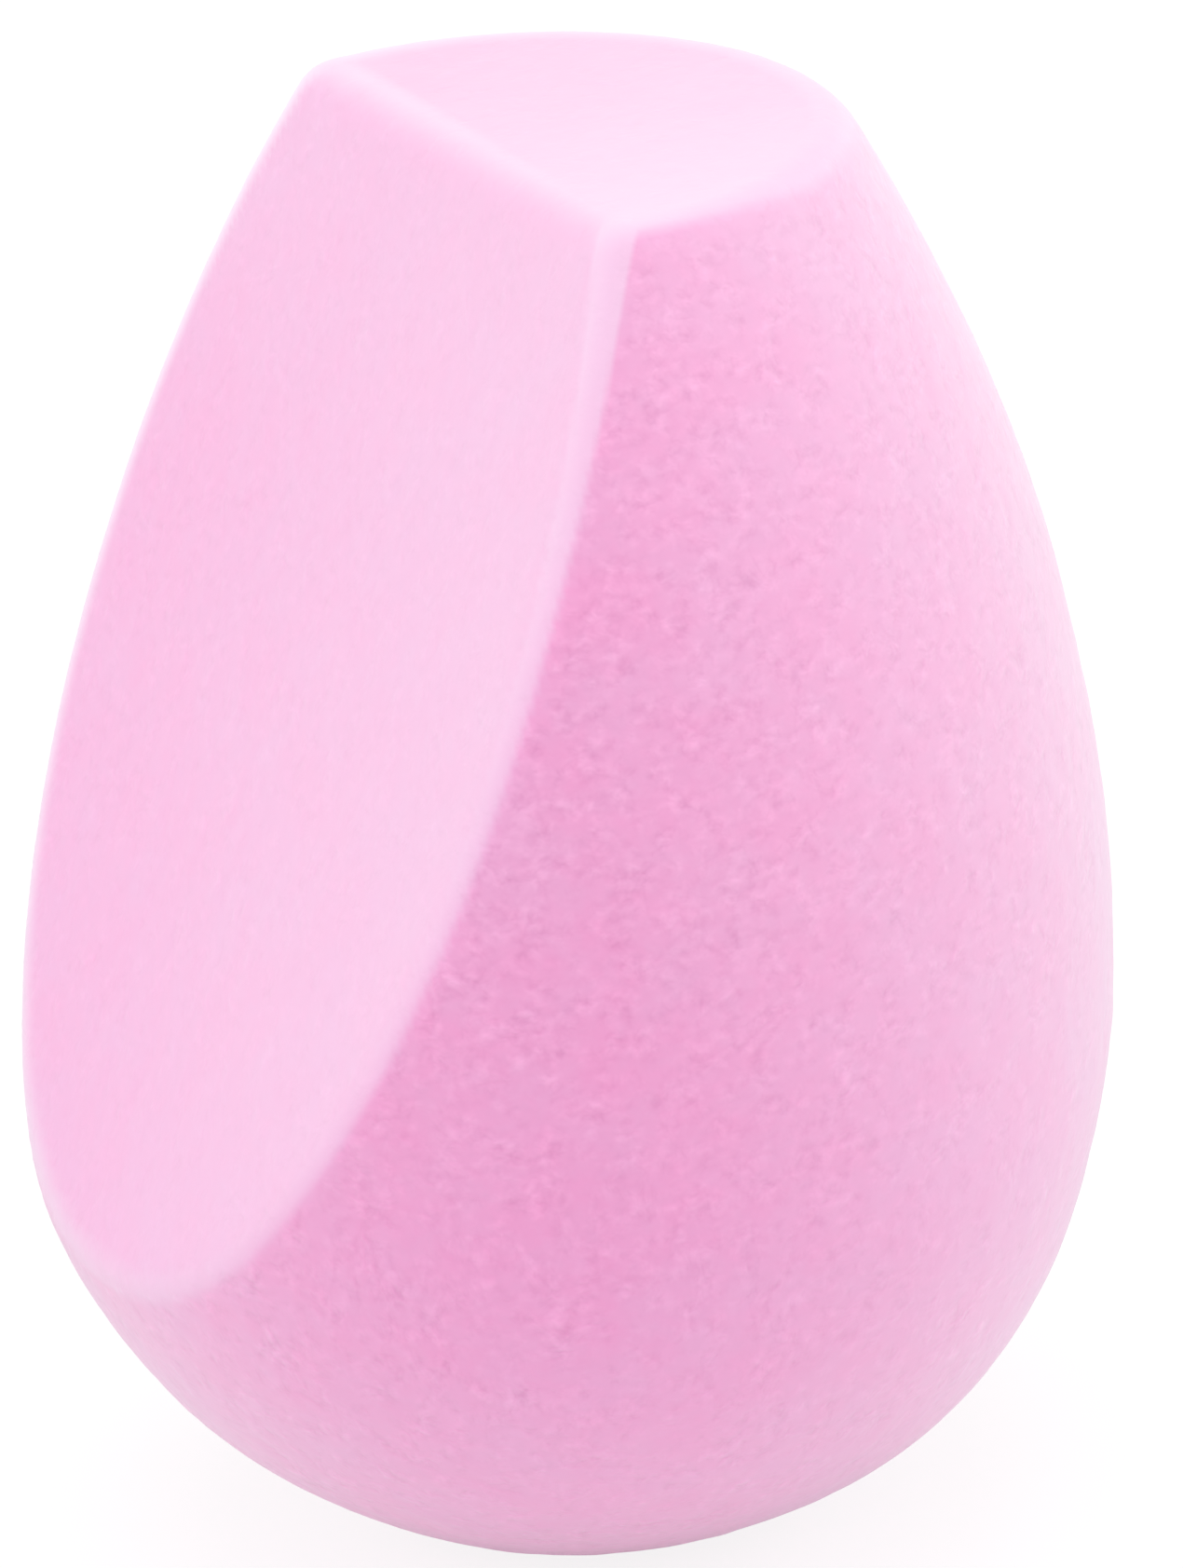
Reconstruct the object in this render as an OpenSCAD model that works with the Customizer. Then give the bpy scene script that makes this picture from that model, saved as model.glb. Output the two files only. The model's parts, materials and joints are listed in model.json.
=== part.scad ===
// Makeup sponge: a moulded foam body, rounded at the bottom, with a flat top and one large flat
// cut on its side, covered all over with a film of adhesive and a pile of flocked microfibre.
// The origin is the middle of the small flat that the sponge stands on. +Z runs up the axis of
// the round body, and the side cut faces -X. The body is the same on both sides of the XZ plane.

/* [Body] */
// Diameter at the widest level
body_d = 45; // [40:0.5:50]
// Height from the flat foot to the flat top
body_h = 59.2; // [56:0.2:63]
// Radius of the long curve of the sides, from the round end up to the top
flank_r = 72; // [60:1:90]
// How far the centre of the round end lies below the widest level
round_end_drop = 3; // [1:0.5:5]
// How deep the soft round end is pressed flat where it stands
foot_depth = 0.5; // [0.3:0.1:0.8]
// Radius of the softened edges round the top and the side cut
edge_r = 2; // [1.5:0.1:2.6]

/* [Side cut] */
// Distance from the axis to the side cut, square to the cut, at the widest level
cut_reach = 16; // [14:0.5:18]
// Lean of the side cut towards the axis, in degrees
cut_lean = 24.5; // [20:0.5:28]

/* [Covering] */
// Height of the flocked pile
flock_t = 0.7; // [0.4:0.1:0.9]
// Thickness of the adhesive that holds the pile
glue_t = 0.15; // [0.1:0.05:0.3]

/* [Hidden] */

// Smoothness of the round surfaces
$fn = 120;
// How far cutting shapes run past what they cut
overrun = 1;
// How far one curve stands through the next where two meet smoothly
seam_lap = 0.001;

// The round end is a ball that meets the flank curve without a corner, so its radius follows
// from the other sizes: both centres and the meeting point lie on one line.
body_r = body_d / 2;
flank_x = body_r - flank_r;
ball_r = flank_r - sqrt(flank_x * flank_x + round_end_drop * round_end_drop);
ball_z = ball_r - foot_depth;
widest_z = ball_z + round_end_drop;
meet_angle = atan2(round_end_drop, -flank_x);

// Centre of the softened rim, where the flank meets the flat top
rim_z = body_h - edge_r;
rim_x = flank_x + sqrt(pow(flank_r - edge_r, 2) - pow(rim_z - widest_z, 2));

// Centre of the softened brow, the straight edge where the side cut meets the flat top
brow_x = ((rim_z - widest_z) * sin(cut_lean) - cut_reach + edge_r) / cos(cut_lean);

// The curved edge of the side cut is softened by two turned forms. Their axes stand behind the
// body's own, away from the cut, by these shares of its radius.
soften_shares = [0.5, 2];

// Level at which the ball hands over to the flank, a depth of inset under the surface
function meet_z(inset) = widest_z - (flank_r - inset) * sin(meet_angle);

// Radius of the round body at level z
function round_r(z, inset) = z < meet_z(inset)
    ? sqrt(pow(ball_r - inset, 2) - pow(z - ball_z, 2))
    : flank_x + sqrt(pow(flank_r - inset, 2) - pow(z - widest_z, 2));

// Rise of the round body's surface normal at level z, in degrees above the horizontal
function round_rise(z, inset) = z < meet_z(inset)
    ? asin((z - ball_z) / (ball_r - inset))
    : asin((z - widest_z) / (flank_r - inset));

// Distance from the axis to the side cut at level z
function cut_x(z, inset) = (cut_reach - inset - (z - widest_z) * sin(cut_lean)) / cos(cut_lean);

// Radius, about an axis shift away from the body's own, of the circle that passes through both
// corners where the side cut meets the round body at level z
function crease_r(z, inset, shift) =
    sqrt(shift * shift + 2 * shift * cut_x(z, inset) + pow(round_r(z, inset), 2));

// How far that circle is drawn in, so that it touches a ball of the edge's radius that rolls
// along the corner against both surfaces. turn is the angle between the two surfaces' normals.
// The circle's own normal is their mean, weighted by how steeply each surface pulls on it.
function draw_in(z, inset, shift) =
    let (
        rise = round_rise(z, inset),
        across_share = min(1, cut_x(z, inset) / round_r(z, inset)),
        turn = acos(cos(rise) * cos(cut_lean) * across_share + sin(rise) * sin(cut_lean)),
        round_pull = round_r(z, inset) / cos(rise),
        cut_pull = shift / cos(cut_lean),
        lean = atan2(round_pull * sin(turn), cut_pull + round_pull * cos(turn)),
        pull = norm([cut_pull + round_pull * cos(turn), round_pull * sin(turn)]),
        slope_share = (cut_pull * sin(cut_lean) + round_pull * sin(rise)) / pull,
        depth = (edge_r - inset) * (cos(lean - turn / 2) / cos(turn / 2) - 1)
    )
    depth / sqrt(1 - slope_share * slope_share);

// Point of the drawn-in outline at level z, out from the shifted axis
function soften_point(z, inset, shift) = [crease_r(z, inset, shift) - draw_in(z, inset, shift), z];

// Centre and radius of the circle through three points
function circle_through(p, q, r) =
    let (
        a = q - p,
        b = r - p,
        arm = [b.y * (a * a) - a.y * (b * b), a.x * (b * b) - b.x * (a * a)] / (2 * cross(a, b))
    )
    [p + arm, norm(arm)];

// The part of a half section between two levels
module between(low, high) {
    intersection() {
        translate([0, low]) square([body_d, high - low]);
        children();
    }
}

// Half section of the round body: ball, long flank, softened rim and flat top. Ball and rim are
// larger by the seam's lap, so that they cross the flank and leave no hair-thin step beside it.
module half_section(inset) {
    rim_meet_z = widest_z + (flank_r - inset) * (rim_z - widest_z) / (flank_r - edge_r);
    between(inset, body_h - inset) {
        translate([0, ball_z]) circle(ball_r - inset + seam_lap);
        between(meet_z(inset), rim_meet_z) translate([flank_x, widest_z]) circle(flank_r - inset);
        translate([rim_x, rim_z]) circle(edge_r - inset + seam_lap);
        translate([0, widest_z]) square([rim_x, body_h - widest_z]);
    }
}

// Outline seen from the side: what the side cut leaves, with the brow's softened edge. It runs on
// past the top, which the half section ends.
module side_outline(inset) {
    brow = [brow_x, rim_z];
    brow_end = brow + (edge_r - inset) * [-cos(cut_lean), sin(cut_lean)];
    polygon([
        brow_end - (brow_end.y + overrun) * [tan(cut_lean), 1],
        [body_d, -overrun],
        [body_d, body_h + overrun],
        [brow_x, body_h + overrun],
        brow,
        brow_end
    ]);
    translate(brow) circle(edge_r - inset + seam_lap);
}

// Turned form that takes the corner off the curved edge of the side cut. Where the cut crosses the
// ball, the outline is a circle about the shifted axis, whose centre lies lower the further the
// axis is shifted. Along the flank it is very nearly a circle, set by three of its points.
module edge_softener(inset, shift) {
    low = meet_z(inset);
    top = body_h - inset;
    low_centre = [0, ball_z - shift * tan(cut_lean)];
    low_r = norm(soften_point(low, inset, shift) - low_centre);
    points = [for (z = [low, (low + top) / 2, top]) soften_point(z, inset, shift)];
    high = circle_through(points[0], points[1], points[2]);
    translate([shift, 0, 0]) rotate_extrude() {
        intersection() {
            translate([0, -overrun]) square(low_r + body_h);
            translate(low_centre) circle(low_r + seam_lap);
        }
        intersection() {
            translate([0, low]) square([low_r, body_h]);
            translate(high[0]) circle(high[1]);
        }
    }
}

// The whole form of the sponge, a depth of inset under its finished surface
module sponge_form(inset) {
    intersection() {
        rotate_extrude() half_section(inset);
        rotate([90, 0, 0]) linear_extrude(2 * body_d, center = true) side_outline(inset);
        intersection_for(share = soften_shares) edge_softener(inset, share * body_r);
    }
}

// Resilient foam, moulded in one piece with its flats
module foam_core() {
    color([0.96, 0.74, 0.86]) sponge_form(flock_t + glue_t);
}

// Film of flocking adhesive over the whole core
module adhesive_film() {
    color([0.97, 0.9, 0.93]) difference() {
        sponge_form(flock_t);
        sponge_form(flock_t + glue_t);
    }
}

// Pile of short microfibres, standing on the adhesive
module flock_skin() {
    color([0.98, 0.78, 0.91]) difference() {
        sponge_form(0);
        sponge_form(flock_t);
    }
}

foam_core();
adhesive_film();
flock_skin();
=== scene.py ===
import json

import bpy
import numpy as np
from mathutils import Matrix, Vector


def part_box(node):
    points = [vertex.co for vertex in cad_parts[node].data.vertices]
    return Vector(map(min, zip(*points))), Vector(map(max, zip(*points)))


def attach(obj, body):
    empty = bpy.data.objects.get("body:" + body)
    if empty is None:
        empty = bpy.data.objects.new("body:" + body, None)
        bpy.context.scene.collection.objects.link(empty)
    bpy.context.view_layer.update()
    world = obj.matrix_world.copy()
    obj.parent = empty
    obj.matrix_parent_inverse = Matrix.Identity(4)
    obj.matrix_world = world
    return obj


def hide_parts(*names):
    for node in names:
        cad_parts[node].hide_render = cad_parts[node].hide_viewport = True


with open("model.json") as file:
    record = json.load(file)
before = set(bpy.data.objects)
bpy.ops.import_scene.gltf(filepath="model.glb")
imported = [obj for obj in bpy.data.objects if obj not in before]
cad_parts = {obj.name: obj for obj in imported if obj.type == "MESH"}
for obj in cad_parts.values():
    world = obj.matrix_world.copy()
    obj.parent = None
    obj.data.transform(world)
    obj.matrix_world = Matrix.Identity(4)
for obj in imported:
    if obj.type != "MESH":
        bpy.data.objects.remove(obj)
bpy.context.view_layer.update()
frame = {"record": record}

# The foam core. One piece of resilient open-cell polyurethane foam, dyed pink through and moulded
# with its round end, flat top and flat side cut. The other layers are coated onto it, so the form
# worked out here, at a depth under the finished surface, is the form of every layer.
flats = {m["name"]: (np.array(m["pos_m"]), np.array(m["axis"])) for m in frame["record"]["mounts"]}
skin_low, skin_high = (np.array(corner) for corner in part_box("flock_skin"))

# The sponge stands on z = 0, so a layer's lowest level is its depth
CORE_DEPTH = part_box("foam_core")[0][2]

# Radii of the round body at its widest and of its long flank curve, how far the centre of the round
# end lies below the widest level, how deep the foot is pressed flat, and the radii of the softened
# edges round the two flat faces and round the foot
BODY_R = (skin_high[1] - skin_low[1]) / 2
FLANK_R = 0.072
ROUND_END_DROP = 0.003
FOOT_DEPTH = 0.0005
EDGE_R = 0.002
FOOT_EDGE_R = 0.0012

# The round end is a ball that meets the flank without a corner
FLANK_X = BODY_R - FLANK_R
BALL_R = FLANK_R - np.hypot(FLANK_X, ROUND_END_DROP)
BALL_Z = BALL_R - FOOT_DEPTH
WIDEST_Z = BALL_Z + ROUND_END_DROP


def round_body(p, depth):
    """Distance from p out of the turned body, and the direction that its surface faces there.

    Seen in the half plane through p and the axis, the outline is two arcs: the flank, and below
    the line through both arcs' centres the ball of the round end.
    """
    r = np.hypot(p[:, 0], p[:, 1])
    from_flank = np.stack([r - FLANK_X, p[:, 2] - WIDEST_Z], axis=1)
    from_ball = np.stack([r, p[:, 2] - BALL_Z], axis=1)
    on_ball = ROUND_END_DROP * from_flank[:, 0] - FLANK_X * from_flank[:, 1] < 0
    arm = np.where(on_ball[:, None], from_ball, from_flank)
    length = np.hypot(arm[:, 0], arm[:, 1])
    out, up = (arm / length[:, None]).T
    facing = np.stack([out * p[:, 0] / r, out * p[:, 1] / r, up], axis=1)
    return length - np.where(on_ball, BALL_R, FLANK_R) + depth, facing


def flat_face(p, name, depth):
    """Distance from p out of one of the flat faces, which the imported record's mounts place."""
    place, axis = flats[name]
    return (p - place) @ axis + depth, np.broadcast_to(axis, p.shape)


def soften(first, second, radius):
    """Joins two surfaces, each (distance, facing), as if a ball of that radius rolled in their corner.

    With a and b the distances from the two planes through the ball's centre and c the cosine
    between the facings, the distance inside the corner is sqrt((a² + b² - 2abc) / (1 - c²)) less
    the radius. Outside it the surface that lies further out counts alone. The smallest spread
    and reach only keep zero out of the divisions.
    """
    a, b = first[0] + radius, second[0] + radius
    c = (first[1] * second[1]).sum(axis=1)
    spread = np.maximum(1 - c * c, 1e-9)
    share_a, share_b = (a - b * c) / spread, (b - a * c) / spread
    corner = share_a[:, None] * first[1] + share_b[:, None] * second[1]
    reach = np.maximum(np.linalg.norm(corner, axis=1), 1e-12)
    in_corner = (share_a > 0) & (share_b > 0)
    distance = np.where(in_corner, reach, np.maximum(a, b)) - radius
    single = np.where((a > b)[:, None], first[1], second[1])
    return distance, np.where(in_corner[:, None], corner / reach[:, None], single)


def sponge_form(p, depth):
    """Distance from p out of the sponge's form, a depth under its surface, and the facing there."""
    form = soften(round_body(p, depth), flat_face(p, "side_face", depth), EDGE_R - depth)
    form = soften(form, flat_face(p, "top_face", depth), EDGE_R - depth)
    return soften(form, flat_face(p, "base_rest", depth), FOOT_EDGE_R - depth)


def smooth(share):
    """A share from 0 to 1 that starts and ends gently, 3s² - 2s³."""
    share = np.clip(share, 0, 1)
    return share * share * (3 - 2 * share)


def ramp(values, start, end):
    """How far the values have come from start to end, as a share from 0 to 1."""
    return np.clip((values - start) / (end - start), 0, 1)


def noise(p, size, seed):
    """Smooth random values from -1 to 1 at the points p, which change over about the given size.

    Each corner of a lattice of cubes has a random value out of a list, and a point mixes the
    eight round it by its smoothed place in its cube.
    """
    random = np.random.default_rng(seed)
    count = 4096
    values, order = random.uniform(-1, 1, count), random.permutation(count)
    cell = np.floor(p / size).astype(int)
    within = smooth(p / size - cell)
    mixed = np.zeros(len(p))
    for step in np.ndindex(2, 2, 2):
        x, y, z = (cell + step).T
        index = order[(order[(order[x % count] + y) % count] + z) % count]
        mixed += values[index] * np.where(step, within, 1 - within).prod(axis=1)
    return mixed


def toward(bearing, rise):
    """Unit vector for a bearing from the front (-Y) towards the right (+X) and a rise, in degrees."""
    bearing, rise = np.radians([bearing, rise])
    level = np.cos(rise)
    return np.array([np.sin(bearing) * level, -np.cos(bearing) * level, np.sin(rise)])


# Where the soft body isn't quite true: the way each place faces, as bearing from the front towards
# the right and rise above the level, then how far it stands out and how widely, in degrees
UNTRUE = [
    (37.8, -47.1, 0.00038, 22),
    (58.0, -15.2, -0.00024, 14),
    (-59.4, -63.3, -0.00024, 18),
    (-107.7, -17.9, 0.00018, 12),
    (67.4, 6.9, 0.00013, 12),
    (-122.0, 15.2, -0.00012, 12),
]

# Cosines to a flat face's own direction, from which the swells fade and at which they are gone, the
# level below which all fades out towards the foot, and the slow waves' height and length
LOOSE_FACING = 0.845
FLAT_FACING = 0.97
FOOT_HOLD = 0.004
WAVE_LIFT = 0.00004
WAVE_LENGTH = 0.009


def untrue(points, facing):
    """How far the moulded body stands out from its true form: a few broad swells and slow waves.

    A swell falls off with the angle between the facings as exp(-(angle / width)²), and is left
    off the flat faces. Waves of half the length are half as high, and all fades out at the foot.
    """
    flatness = np.maximum(facing @ flats["side_face"][1], facing @ flats["top_face"][1])
    swell = np.zeros(len(points))
    for bearing, rise, lift, width in UNTRUE:
        angle = np.degrees(np.arccos(np.clip(facing @ toward(bearing, rise), -1, 1)))
        swell += lift * np.exp(-((angle / width) ** 2))
    waves = noise(points, WAVE_LENGTH, seed=3) + noise(points, WAVE_LENGTH / 2, seed=4) / 2
    loose = swell * ramp(flatness, FLAT_FACING, LOOSE_FACING) + WAVE_LIFT * waves
    return loose * ramp(points[:, 2], 0, FOOT_HOLD)


def ball_grid(cells):
    """Directions spread evenly all round, and the quads between them.

    Each side of a cube is a grid of two parameters t from -1 to 1, spaced by tan(t · pi / 4), and
    each point is drawn in to length 1. The points that two sides share are merged.
    """
    t = np.tan(np.linspace(-1, 1, cells + 1) * np.pi / 4)
    u, v = np.meshgrid(t, t, indexing="ij")
    corner = np.arange((cells + 1) ** 2).reshape(cells + 1, cells + 1)
    quads = np.stack([corner[:-1, :-1], corner[1:, :-1], corner[1:, 1:], corner[:-1, 1:]], axis=-1)
    points, quads_of = [], []
    for axis in range(3):
        for sign in (-1, 1):
            side = np.empty(u.shape + (3,))
            side[..., axis] = sign
            side[..., (axis + 1) % 3] = u * sign
            side[..., (axis + 2) % 3] = v
            quads_of.append(quads.reshape(-1, 4) + len(points) * corner.size)
            points.append(side.reshape(-1, 3))
    points = np.concatenate(points)
    points /= np.linalg.norm(points, axis=1)[:, None]
    points, merged = np.unique(points.round(9), axis=0, return_inverse=True)
    return points, merged.reshape(-1)[np.concatenate(quads_of)]


# Shares of a ray that surely lie inside and outside the form, and how often the stretch between
# them is halved
RAY_INSIDE = 0.3
RAY_OUTSIDE = 2.0
HALVINGS = 36


def sponge_surface(depth, cells):
    """Points on the sponge's form a depth under its surface, their facings, and the quads.

    A ray runs from inside the sponge through each point of the ball grid, stretched to the
    sponge's own length, breadth and height, and halving finds where it leaves the form.
    """
    middle = (skin_low + skin_high) / 2
    directions, quads = ball_grid(cells)
    rays = directions * (skin_high - skin_low) / 2
    inside, outside = np.full(len(rays), RAY_INSIDE), np.full(len(rays), RAY_OUTSIDE)
    for _ in range(HALVINGS):
        share = (inside + outside) / 2
        within = sponge_form(middle + share[:, None] * rays, depth)[0] < 0
        inside, outside = np.where(within, share, inside), np.where(within, outside, share)
    points = middle + ((inside + outside) / 2)[:, None] * rays
    facing = sponge_form(points, depth)[1]
    return points + facing * untrue(points, facing)[:, None], facing, quads


def new_piece(name, points, quads):
    """A smooth-shaded mesh object, at the origin, from whole arrays of points and quads."""
    mesh = bpy.data.meshes.new(name)
    mesh.vertices.add(len(points))
    mesh.vertices.foreach_set("co", points.astype(np.float32).ravel())
    mesh.loops.add(quads.size)
    mesh.loops.foreach_set("vertex_index", quads.astype(np.int32).ravel())
    mesh.polygons.add(len(quads))
    mesh.polygons.foreach_set("loop_start", np.arange(0, quads.size, 4, dtype=np.int32))
    mesh.polygons.foreach_set("use_smooth", np.ones(len(quads), bool))
    mesh.update(calc_edges=True)
    mesh.validate()
    piece = bpy.data.objects.new(name, mesh)
    bpy.context.scene.collection.objects.link(piece)
    return piece


def node_adder(tree):
    """A function that adds a node to the tree with its settings, and sets or links its inputs."""

    def add(kind, inputs=None, **settings):
        node = tree.nodes.new(kind)
        for key, value in settings.items():
            setattr(node, key, value)
        for socket, value in (inputs or {}).items():
            if isinstance(value, bpy.types.NodeSocket):
                tree.links.new(value, node.inputs[socket])
            else:
                node.inputs[socket].default_value = value
        return node

    return add


def new_material(name, finish):
    """A node material with its shader's sockets set, the shader, and a function that adds nodes."""
    material = bpy.data.materials.new(name)
    material.use_nodes = True
    shader = material.node_tree.nodes["Principled BSDF"]
    for socket, value in finish.items():
        shader.inputs[socket].default_value = value
    return material, shader, node_adder(material.node_tree)


def combine(add, operation, first, second):
    """The sum, difference, product or larger one of two values."""
    return add("ShaderNodeMath", {0: first, 1: second}, operation=operation).outputs[0]


def coat(shader, colour, bump):
    """Gives the shader its colour and the bumps of its surface."""
    links = shader.id_data.links
    links.new(colour, shader.inputs["Base Color"])
    links.new(bump.outputs["Normal"], shader.inputs["Normal"])


# The dyed foam: how many pores lie along a metre, their depth, and the colours of the hollows,
# darkened as painted shade, and of the cell walls round them
PORES_PER_M = 2600.0
PORE_DEPTH = 0.0001
SHADED_HOLLOW_PINK = (0.62, 0.2, 0.36, 1)
WALL_PINK = (0.86, 0.42, 0.6, 1)


def foam_finish():
    """Matte dyed foam: round pores of two sizes, paler cell walls round hollows with painted shade."""
    material, shader, add = new_material("dyed_foam", {"Roughness": 0.92, "Specular IOR Level": 0.25})
    place = add("ShaderNodeTexCoord").outputs["Object"]
    large, small = (
        add("ShaderNodeTexVoronoi", {"Vector": place, "Scale": scale}).outputs["Distance"]
        for scale in (PORES_PER_M, 2 * PORES_PER_M)
    )
    depth = combine(add, "ADD", large, small)
    tint = add("ShaderNodeValToRGB", {"Fac": depth})
    tint.color_ramp.elements[0].color = SHADED_HOLLOW_PINK
    tint.color_ramp.elements[1].color = WALL_PINK
    bump = add("ShaderNodeBump", {"Height": depth, "Strength": 0.5, "Distance": PORE_DEPTH})
    coat(shader, tint.outputs["Color"], bump)
    return material


# The core's surface: cells along each side of its grid, the size and height of its open pores, and
# how far it stays clear of the film
CORE_CELLS = 64
PORE_SIZE = 0.0012
PORE_RELIEF = 0.00003
CORE_GAP = 0.00004

core_points, core_facing, core_quads = sponge_surface(CORE_DEPTH, CORE_CELLS)
core_relief = noise(core_points, PORE_SIZE, seed=11) * PORE_RELIEF - CORE_GAP
core_points += core_facing * core_relief[:, None]
foam_core = new_piece("foam_core_dressed", core_points, core_quads)
foam_core.data.materials.append(foam_finish())
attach(foam_core, "root")
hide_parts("foam_core")

# The adhesive film. A thin flexible flocking adhesive, sprayed all over the core and still wet
# when the pile is shot into it. It cures to a milky skin that gives with the foam.
FILM_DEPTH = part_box("adhesive_film")[0][2]

# How far the film's mesh stays clear of its neighbours, and the cells along each side of the grids
# of its outer and its inner surface
FILM_GAP = 0.00001
FILM_CELLS = 64
FILM_LINING_CELLS = 48

# Its colours where fibres have drawn it thin and where it has pooled between them, how many pools
# lie along a metre, and how deep they look
THIN_FILM = (0.84, 0.56, 0.68, 1)
POOLED_FILM = (0.93, 0.74, 0.82, 1)
POOLS_PER_M = 900.0
POOL_DEPTH = 0.00004


def shell(points, quads, inner_depth, inner_cells):
    """Closes a layer: its outer surface, and an inner one at a depth, turned to face inwards."""
    lining, _, lining_quads = sponge_surface(inner_depth, inner_cells)
    return (
        np.concatenate([points, lining]),
        np.concatenate([quads, lining_quads[:, ::-1] + len(points)]),
    )


def soft_noise(add, place, per_metre, detail, roughness=0.5):
    """Soft random values that change about so many times along a metre."""
    inputs = {"Vector": place, "Scale": per_metre, "Detail": detail, "Roughness": roughness}
    return add("ShaderNodeTexNoise", inputs).outputs["Fac"]


def adhesive_finish():
    """Cured adhesive: milky, faintly pink, a low uneven gloss where fibres have drawn it up."""
    finish = {"Roughness": 0.45, "Coat Weight": 0.15, "Coat Roughness": 0.4}
    material, shader, add = new_material("cured_adhesive", finish)
    place = add("ShaderNodeTexCoord").outputs["Object"]
    pools = soft_noise(add, place, POOLS_PER_M, 4.0)
    tint = add("ShaderNodeValToRGB", {"Fac": pools})
    tint.color_ramp.elements[0].color = THIN_FILM
    tint.color_ramp.elements[1].color = POOLED_FILM
    bump = add("ShaderNodeBump", {"Height": pools, "Strength": 0.4, "Distance": POOL_DEPTH})
    coat(shader, tint.outputs["Color"], bump)
    return material


film_points, _, film_quads = sponge_surface(FILM_DEPTH + FILM_GAP, FILM_CELLS)
film_points, film_quads = shell(film_points, film_quads, CORE_DEPTH - FILM_GAP, FILM_LINING_CELLS)
adhesive_film = new_piece("adhesive_film_dressed", film_points, film_quads)
adhesive_film.data.materials.append(adhesive_finish())
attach(adhesive_film, "root")
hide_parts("adhesive_film")

# The flock. Short pink microfibres, shot on end into the wet adhesive by static charge and then
# brushed. They stand as a dense velvety pile, which packs into small tufts on the round body and
# lies smoother on the two cut faces. Painted sheen and highlights pale it on edges, top and flanks.

# The tufts: sizes of the coarse and the fine ones, the fine ones' share of the height, the scale of
# places that draws the coarse ones out upright, their height, and how many heights they lie sunk
TUFT_SIZE = 0.0009
FINE_TUFT_SIZE = 0.0006
FINE_TUFT_SHARE = 0.6
TUFT_DRAW = (1, 1, 0.7)
TUFT_RELIEF = 0.00002
TUFT_SINK = 1.2

# How loosely the pile of the flat faces stands, as a share of the round body's, and over how far
# past the middle of a softened edge that changes
SMOOTH_NAP = 0.5
NAP_TURN = 0.0006

# Where a place lies: half the breadth over which it goes from the back to the front, and where along
# X the round body goes over into its lee, away from the side cut
FACE_HALF = 0.015
LEE_START = -0.009
LEE_END = 0.008

# The round body: how strong its painted sheen is below the rim, how far down that reaches,
# and how strong it is in the lee
BODY_RIM_SHEEN = 0.13
BODY_RIM_REACH = 0.01
BODY_LEE_SHEEN = 0.15

# The side face: how strong its painted sheen is at the front, the share of that which it has at
# the back near the top, and the levels between which that comes in
SIDE_SHEEN = 0.36
SIDE_TOP_SHARE = 0.45
SIDE_TOP_START = 0.042
SIDE_TOP_END = 0.057

# The curved edge of the side cut: how strong the painted highlight along it is at the front of the
# top, and the shares of that on the foot's level and at the back
EDGE_HIGHLIGHT = 0.74
EDGE_LOW_SHARE = 0.35
EDGE_BACK_SHARE = 1.3

# The band of painted highlight there: how far past the edge it begins, how much further at the
# edge's top, the level from which that grows both up and down, and over how far the band comes in.
# Then how far in it ends, how much further at the top, and over how far it fades.
EDGE_PAST = 0.00045
EDGE_PAST_ENDS = 0.0007
EDGE_MIDDLE = 0.034
EDGE_RISE = 0.0004
EDGE_BAND_END = 0.0006
EDGE_BAND_END_TOP = 0.00105
EDGE_FADE = 0.0008

# The top face: how strong its painted sheen is at the back, and its painted highlights along its
# rim, with the rim's shares in the lee and at the back, and along its brow, then how far in both
# bands end and over how far they fade
TOP_SHEEN = 0.28
RIM_HIGHLIGHT = 0.97
RIM_LEE_SHARE = 0.7
RIM_BACK_SHARE = 1.1
BROW_HIGHLIGHT = 0.8
TOP_BAND_END = 0.0026
TOP_FADE = 0.0018

# How far past the rim and the brow the top's painted sheen begins, and over how far it comes in,
# how much further out it begins in the lee, and how far it is drawn back at the front corner
RIM_PAST = 0.00041
RIM_RISE = 0.0009
BROW_PAST = 0.00096
BROW_RISE = 0.002
LEE_PAST = 0.0007
CORNER_DRAW = 0.0005


def mix(share, start, end):
    """The value that a share leads to on the way from start to end."""
    return start + (end - start) * share


def depths(points):
    """How far each point lies out of the round body, the side face and the top face."""
    side, top = (flat_face(points, name, 0.0)[0] for name in ("side_face", "top_face"))
    return round_body(points, 0.0)[0], side, top


def nap_share(points):
    """How loosely the pile stands: little on the flat faces, all on the round body.

    It grows from the middle of a softened edge to the place where the edge runs into the round
    body, as the round body's surface comes nearer than the flat one.
    """
    out_body, out_side, out_top = depths(points)
    return mix(smooth((out_body - np.maximum(out_side, out_top)) / NAP_TURN), SMOOTH_NAP, 1)


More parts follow.
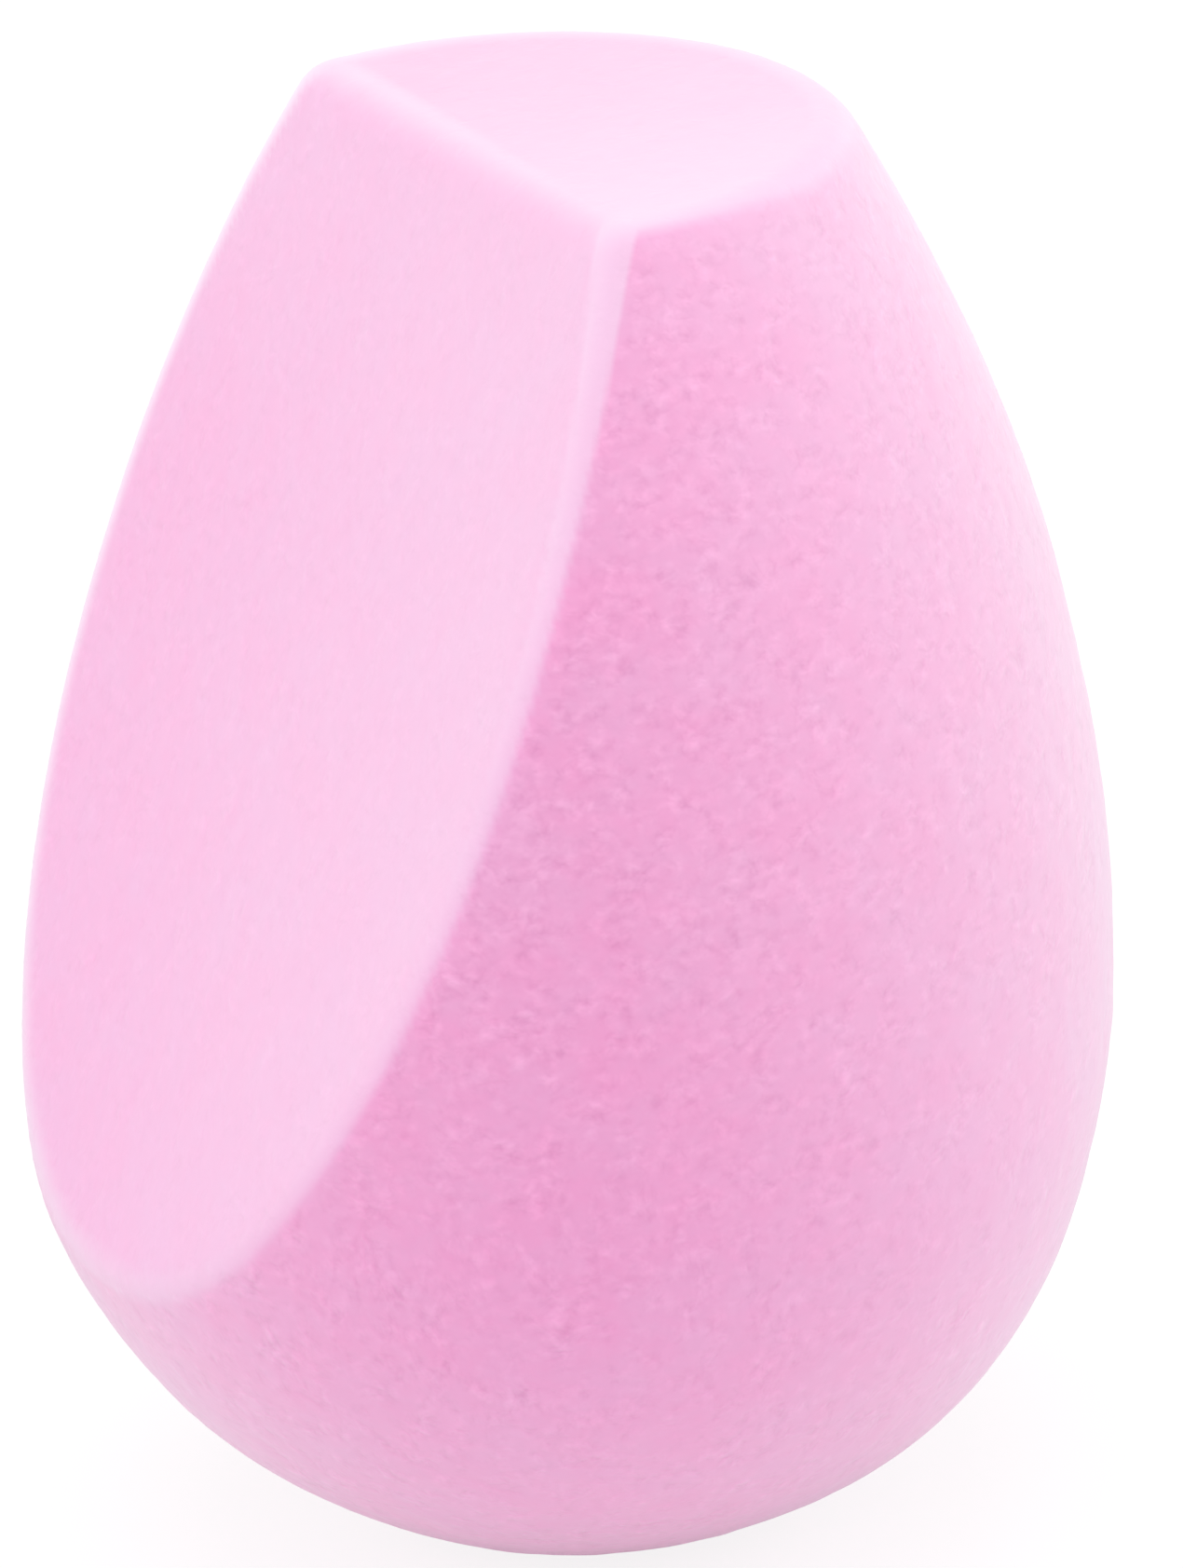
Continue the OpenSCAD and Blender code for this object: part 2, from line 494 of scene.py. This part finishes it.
def lower_painted_sheen(points, front, lee):
    """How strong the painted sheen is on the round body, the side face and the edge between them.

    On the round body it is painted below the rim, fading down it as exp(-drop / reach), and away
    from the side cut. On the side face it grows to the front, and near the top at the back too.
    Along the edge a band of painted highlight runs from just past the edge to a little way in on the
    side face. The fourth power of the way from its middle carries it further past at both ends.
    """
    out_body, out_side, out_top = depths(points)
    height = points[:, 2] / skin_high[2]
    body = BODY_RIM_SHEEN * np.exp(out_top / BODY_RIM_REACH) + BODY_LEE_SHEEN * lee
    by_top = smooth(ramp(points[:, 2], SIDE_TOP_START, SIDE_TOP_END))
    side = SIDE_SHEEN * (front + SIDE_TOP_SHARE * (1 - front) * by_top)

    inward = out_side - out_body
    ends = (points[:, 2] - EDGE_MIDDLE) / (skin_high[2] - EDGE_MIDDLE)
    begun = smooth((inward + EDGE_PAST + EDGE_PAST_ENDS * ends**4) / EDGE_RISE)
    lasting = smooth((EDGE_BAND_END + EDGE_BAND_END_TOP * height - inward) / EDGE_FADE)
    edge = EDGE_HIGHLIGHT * mix(height, EDGE_LOW_SHARE, 1) * mix(front, EDGE_BACK_SHARE, 1)
    return np.maximum(np.where(inward > 0, side, body), edge * begun * lasting)


def painted_sheen_share(points):
    """How much painted sheen makes each point paler.

    On the top face it grows to the front, three times as strong as at the back, and is strongest
    as painted highlights along its rim and its brow. Its share takes over softly from what lies
    below it, from a little past both edges on. The fourth and sixth powers keep what shifts that to
    the far lee and the front corner.
    """
    out_body, out_side, out_top = depths(points)
    front = ramp(points[:, 1], FACE_HALF, -FACE_HALF)
    lee = ramp(points[:, 0], LEE_START, LEE_END)
    over_body, over_side = out_top - out_body, out_top - out_side
    rim = RIM_HIGHLIGHT * mix(lee, 1, RIM_LEE_SHARE) * mix(front, RIM_BACK_SHARE, 1)
    rim *= smooth((TOP_BAND_END - over_body) / TOP_FADE)
    brow = BROW_HIGHLIGHT * smooth((TOP_BAND_END - over_side) / TOP_FADE)
    top = np.maximum(TOP_SHEEN * (1 + front + front**2), np.maximum(rim, brow))

    further = LEE_PAST * lee**4 - CORNER_DRAW * (1 - lee) * front**6
    past_rim = smooth((over_body + RIM_PAST + further) / RIM_RISE)
    past_brow = smooth((over_side + BROW_PAST + further) / BROW_RISE)
    return mix(past_rim * past_brow, lower_painted_sheen(points, front, lee), top)


def tuft_relief(points):
    """How far the tufts stand out: two noises, the coarse one drawn out upright, less on the flats."""
    coarse = noise(points * TUFT_DRAW, TUFT_SIZE, seed=5)
    fine = FINE_TUFT_SHARE * noise(points, FINE_TUFT_SIZE, seed=6)
    return TUFT_RELIEF * (coarse + fine - TUFT_SINK) * nap_share(points)


# The grain of the fibres' tips: how an upright and a level one are drawn out, with their flecks
# along a metre, and how often and how far their direction wanders
GRAINS = [((1.0, 1.0, 0.75), 2100.0), ((0.7, 0.7, 1.0), 2150.0)]
WANDER_PER_M = 700.0
WANDER_REACH = 0.0006

# Where the level grain takes over: in patches, so many along a metre, and more so from the first
# level up to the second, which these shares at the two bring about
LIE_PATCHES_PER_M = 240.0
LIE_LEVELS = (0.01, 0.04)
LIE_SHARES = (-0.12, 0.3)

# How many crowded places lie along a metre, how strongly the flecks stand out in sparse places and in
# crowded ones, the height at which a fleck has its full colour, and how deep the bumps are
CROWDS_PER_M = 1000.0
CROWD_STRENGTHS = (0.25, 1.6)
FLECK_FULL = 0.38
FLECK_DEPTH = 0.00015

# Most values of a noise texture lie between these
NOISE_SPAN = (0.35, 0.65)

# The pile's colours where its tips lie low, deeper partly as painted shade between the fibres, and
# at their tips, and the pale colour of its painted sheen and highlights. Then the tints that the
# first two are multiplied by: on the flats, in warmer and cooler patches, low down and by the foot,
# with the levels at which those two begin and the number of patches along a metre.
DEEP_PINK = (0.715, 0.198, 0.471, 1)
TIP_PINK = (0.895, 0.342, 0.642, 1)
PAINTED_SHEEN_PINK = (0.84, 0.56, 0.765, 1)
NO_TINT = (1, 1, 1, 1)
FLAT_TINT = (0.985, 0.85, 0.98, 1)
WARM_TINT = (1.022, 0.937, 0.98, 1)
COOL_TINT = (0.978, 1.063, 1.02, 1)
# Painted shading of the underside: a deeper pink low down and a deeper, redder pink by the foot
PAINTED_LOW_SHADING = (0.985, 0.83, 0.975, 1)
PAINTED_FOOT_SHADING = (1.17, 0.77, 1.06, 1)
LOW_LEVEL = 0.036
FOOT_LEVEL = 0.01
TINT_PATCHES_PER_M = 200.0


def between(add, value, span, low=0.0, high=1.0):
    """Spreads the values of a span over low to high, and holds those beyond it there."""
    inputs = {"Value": value, "From Min": span[0], "From Max": span[1], "To Min": low, "To Max": high}
    return add("ShaderNodeMapRange", inputs).outputs[0]


def blend(add, share, first, second, kind="MIX"):
    """Mixes two colours, or multiplies them, by a share."""
    inputs = {"Factor": share, "A": first, "B": second}
    return add("ShaderNodeMix", inputs, data_type="RGBA", blend_type=kind).outputs["Result"]


def pile_grain(add, place, up, nap):
    """How far the tips of the fibres stand out: fine flecks that lie in wandering directions.

    Both grains are noise at places shifted by another noise. The mixed grain less its middle is
    as strong as the pile is loose, and stronger where the fibres crowd.
    """
    wander = add("ShaderNodeTexNoise", {"Vector": place, "Scale": WANDER_PER_M, "Detail": 2.0})
    shift = {0: wander.outputs["Color"], "Scale": WANDER_REACH}
    shift = add("ShaderNodeVectorMath", shift, operation="SCALE").outputs[0]
    shifted = add("ShaderNodeVectorMath", {0: place, 1: shift}, operation="ADD").outputs[0]
    grains = []
    for draw, per_metre in GRAINS:
        drawn = add("ShaderNodeMapping", {"Vector": shifted, "Scale": draw}).outputs[0]
        grains.append(soft_noise(add, drawn, per_metre, 2.0, 0.6))
    patches = soft_noise(add, place, LIE_PATCHES_PER_M, 3.0)
    lie = combine(add, "ADD", patches, between(add, up, LIE_LEVELS, *LIE_SHARES))
    inputs = {"Factor": between(add, lie, NOISE_SPAN), "A": grains[0], "B": grains[1]}
    grain = add("ShaderNodeMix", inputs, data_type="FLOAT").outputs["Result"]
    loose = combine(add, "MULTIPLY", combine(add, "SUBTRACT", grain, 0.5), nap)
    crowd = soft_noise(add, place, CROWDS_PER_M, 1.0)
    return combine(add, "MULTIPLY", loose, between(add, crowd, NOISE_SPAN, *CROWD_STRENGTHS))


def pile_colour(add, place, up, nap, painted_sheen, grain):
    """The pink of the pile, from the grain and four tints, and paler by the painted sheen."""
    # Deeper pink where the grain lies low: partly the pile's own tone, partly painted shade between
    # fibres
    pink = blend(add, between(add, grain, (-FLECK_FULL, FLECK_FULL)), DEEP_PINK, TIP_PINK)
    hue = soft_noise(add, place, TINT_PATCHES_PER_M, 4.0, 0.75)
    for share, first, second in (
        (between(add, nap, (1.0, SMOOTH_NAP)), NO_TINT, FLAT_TINT),
        (between(add, hue, NOISE_SPAN), WARM_TINT, COOL_TINT),
        # Painted shading of the underside, low down and by the foot
        (between(add, up, (LOW_LEVEL, 0.0)), NO_TINT, PAINTED_LOW_SHADING),
        (between(add, up, (FOOT_LEVEL, 0.0)), NO_TINT, PAINTED_FOOT_SHADING),
    ):
        pink = blend(add, 1.0, pink, blend(add, share, first, second), "MULTIPLY")
    # Painted sheen and highlights: the pink is mixed towards the pale sheen colour by its share
    return blend(add, painted_sheen, pink, PAINTED_SHEEN_PINK)


def flock_finish():
    """Velvet pile: deep pink where it is looked into, paler where it is seen across its tips.

    The paleness across the tips is the shader's own sheen, and painted sheen and highlights in
    the colour add to it. The grain that colours the pile also stands out as bumps.
    """
    finish = {
        "Roughness": 0.95,
        "Specular IOR Level": 0.1,
        "Sheen Weight": 0.87,
        "Sheen Roughness": 0.74,
        "Sheen Tint": (0.95, 1.0, 1.0, 1),
    }
    material, shader, add = new_material("velvet_flock", finish)
    place = add("ShaderNodeTexCoord").outputs["Object"]
    up = add("ShaderNodeSeparateXYZ", {"Vector": place}).outputs["Z"]
    nap = add("ShaderNodeAttribute", attribute_name="nap").outputs["Fac"]
    painted_sheen = add("ShaderNodeAttribute", attribute_name="painted_sheen").outputs["Fac"]
    grain = pile_grain(add, place, up, nap)
    bump = add("ShaderNodeBump", {"Height": grain, "Strength": 0.28, "Distance": FLECK_DEPTH})
    coat(shader, pile_colour(add, place, up, nap, painted_sheen, grain), bump)
    return material


# Cells along each side of the grids of the skin's outer and its inner surface
PILE_CELLS = 124
PILE_LINING_CELLS = 32

pile_points, pile_facing, pile_quads = sponge_surface(0.0, PILE_CELLS)
pile_points += pile_facing * tuft_relief(pile_points)[:, None]
skin_points, skin_quads = shell(pile_points, pile_quads, FILM_DEPTH - FILM_GAP, PILE_LINING_CELLS)
flock_skin = new_piece("flock_skin_dressed", skin_points, skin_quads)
# Per point: how loosely the pile stands, and how much painted sheen pales it
for name, share_of in (("nap", nap_share), ("painted_sheen", painted_sheen_share)):
    attribute = flock_skin.data.attributes.new(name, "FLOAT", "POINT")
    attribute.data.foreach_set("value", share_of(skin_points).astype(np.float32))
flock_skin.data.materials.append(flock_finish())
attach(flock_skin, "root")
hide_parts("flock_skin")

# The floor. A plain white sweep that the sponge stands on. Most of what is seen of it is light of
# its own, so it is plain white but for a faint shadow of the sponge.
FLOOR_HALF = 1.5
BOARD_WHITE = (0.88, 0.88, 0.88, 1)
OWN_LIGHT = 1.06
OWN_LIGHT_SHARE = 0.8


def seen_share(add):
    """1 for what is seen, also in a reflection or through something clear, and 0 for light."""
    rays = add("ShaderNodeLightPath").outputs
    seen = combine(add, "MAXIMUM", rays["Is Camera Ray"], rays["Is Glossy Ray"])
    return combine(add, "MAXIMUM", seen, rays["Is Transmission Ray"])


def floor_finish():
    """White matte board. What is seen of it is part light falling on it and part its own."""
    finish = {"Base Color": BOARD_WHITE, "Roughness": 0.9, "Specular IOR Level": 0.1}
    material, shader, add = new_material("white_board", finish)
    tree = material.node_tree
    share = combine(add, "MULTIPLY", seen_share(add), OWN_LIGHT_SHARE)
    own = add("ShaderNodeEmission", {"Color": (1, 1, 1, 1), "Strength": OWN_LIGHT})
    both = add("ShaderNodeMixShader", {0: share, 1: shader.outputs[0], 2: own.outputs[0]})
    tree.links.new(both.outputs[0], tree.nodes["Material Output"].inputs["Surface"])
    return material


floor_corners = np.array([[-1, -1, 0], [1, -1, 0], [1, 1, 0], [-1, 1, 0]]) * FLOOR_HALF
floor = new_piece("floor", floor_corners, np.array([[0, 1, 2, 3]]))
floor.data.materials.append(floor_finish())

# The light. A white room all round, seen as plain white, and soft boxes overhead, at both sides
# and in front, so that the faces turned to the camera are the deepest in colour.
ROOM_LIGHT = 0.64
LAMP_AWAY = 1.2

world = bpy.data.worlds.new("white_room")
bpy.context.scene.world = world
world.use_nodes = True
add_to_room = node_adder(world.node_tree)
room_light = between(add_to_room, seen_share(add_to_room), (0.0, 1.0), ROOM_LIGHT, 1.0)
background = world.node_tree.nodes["Background"]
background.inputs["Color"].default_value = (1, 1, 1, 1)
world.node_tree.links.new(room_light, background.inputs["Strength"])


def soft_box(name, bearing, rise, size, watts):
    """A square area lamp that faces the sponge from a bearing and a rise, in degrees."""
    lamp = bpy.data.lights.new(name, "AREA")
    lamp.size = size
    lamp.energy = watts
    stand = bpy.data.objects.new(name, lamp)
    bpy.context.scene.collection.objects.link(stand)
    out = Vector(toward(bearing, rise))
    stand.location = Vector((0, 0, WIDEST_Z)) + out * LAMP_AWAY
    stand.rotation_euler = out.to_track_quat("Z", "Y").to_euler()


soft_box("overhead_box", bearing=-25, rise=85, size=1.0, watts=6.8)
soft_box("left_box", bearing=-125, rise=20, size=0.8, watts=2.7)
soft_box("front_box", bearing=-20, rise=30, size=0.8, watts=2.2)
soft_box("right_box", bearing=80, rise=20, size=0.8, watts=3.2)

# The camera. It stands where the photograph was taken from: in front of the round body and to the
# left of it, looking down at a place a little above and to the right of the widest level's middle.
# The top leans a little to the left in the frame.
CAMERA_BEARING = -25.51
CAMERA_RISE = 22.68
CAMERA_ROLL = 4.52
CAMERA_AWAY = 0.45
AIM_RIGHT = 0.00136
AIM_UP = 0.0062
LONG_SIDE_PX = 1683
FOCAL_PX = 11918

roll = np.radians(CAMERA_ROLL)
back = toward(CAMERA_BEARING, CAMERA_RISE)
level = toward(CAMERA_BEARING + 90, 0)
over = np.cross(back, level)
right = np.cos(roll) * level - np.sin(roll) * over
top = np.sin(roll) * level + np.cos(roll) * over
widest = np.array([0, 0, WIDEST_Z])
place = widest + CAMERA_AWAY * back
aim = widest + AIM_RIGHT * right + AIM_UP * top
look_back = (place - aim) / np.linalg.norm(place - aim)
look_right = np.cross(top, look_back)
look_right /= np.linalg.norm(look_right)
look_up = np.cross(look_back, look_right)

lens = bpy.data.cameras.new("camera")
lens.sensor_width = 36
lens.lens = FOCAL_PX / LONG_SIDE_PX * lens.sensor_width
lens.clip_start = 0.01
camera = bpy.data.objects.new("camera", lens)
bpy.context.scene.collection.objects.link(camera)
turn = Matrix(np.stack([look_right, look_up, look_back], axis=1).tolist()).to_4x4()
camera.matrix_world = Matrix.Translation(place.tolist()) @ turn
bpy.context.scene.camera = camera
bpy.context.scene.view_settings.view_transform = "Standard"
